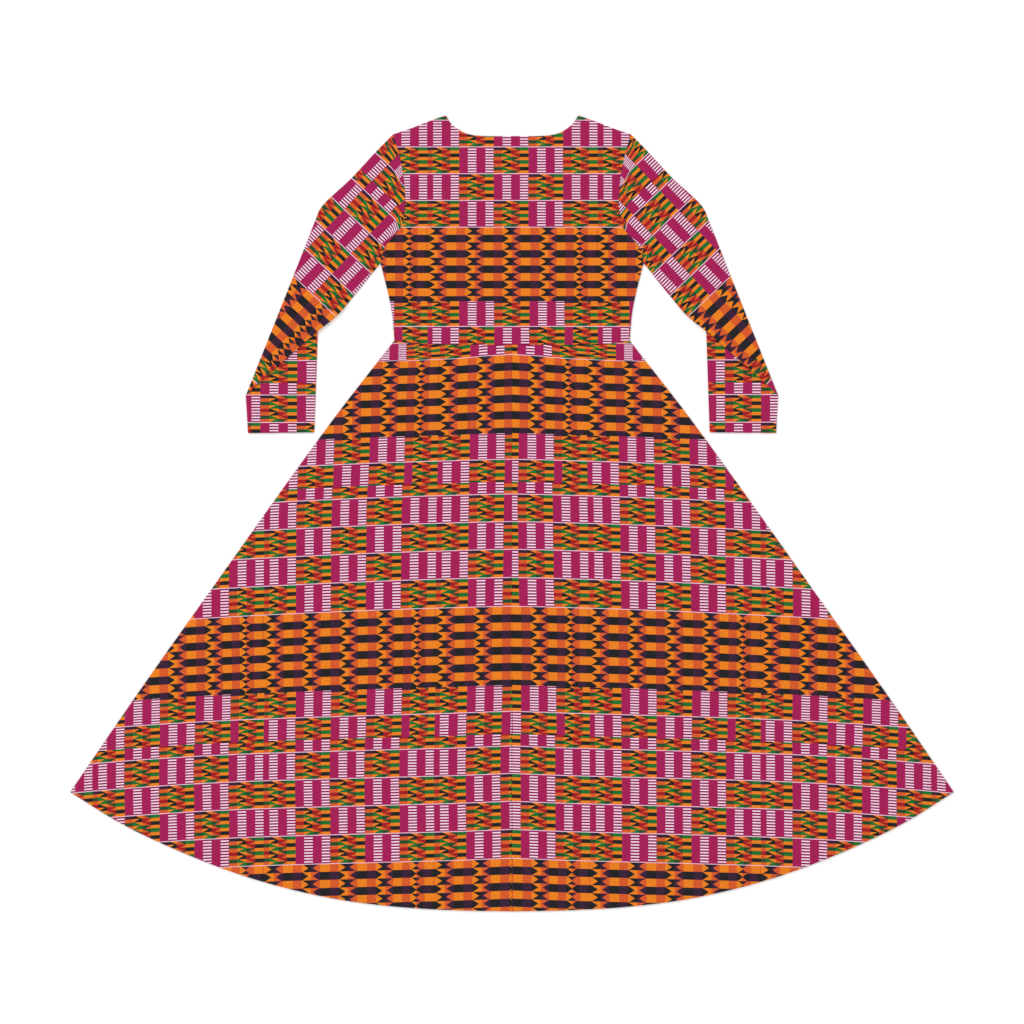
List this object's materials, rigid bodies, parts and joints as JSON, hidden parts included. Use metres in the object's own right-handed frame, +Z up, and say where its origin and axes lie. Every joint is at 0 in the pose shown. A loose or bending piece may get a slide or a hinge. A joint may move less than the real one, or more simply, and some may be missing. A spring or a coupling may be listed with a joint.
{
  "type": "dance dress",
  "caption": "Long-sleeved stretch dress with a fitted bodice and a full flared skirt, laid flat on its front with the back up.",
  "frame": {"origin": "middle of the laid-out dress on the surface that it lies on", "axes": "+X across the dress towards the wearer's right, +Y from the hem to the shoulders, +Z up from the surface, out of the dress's back"},
  "size_m": [1.5018, 1.353, 0.0066],
  "materials": {
    "printed_knit": "matt stretch jersey with a strip-weave style print in magenta, orange, black, green and purple"
  },
  "bodies": {
    "root": {"front_bodice": "printed_knit", "front_skirt": "printed_knit", "back_bodice": "printed_knit", "back_skirt_left": "printed_knit", "back_skirt_right": "printed_knit", "sleeve_left": "printed_knit", "sleeve_right": "printed_knit"}
  },
  "joints": []
}
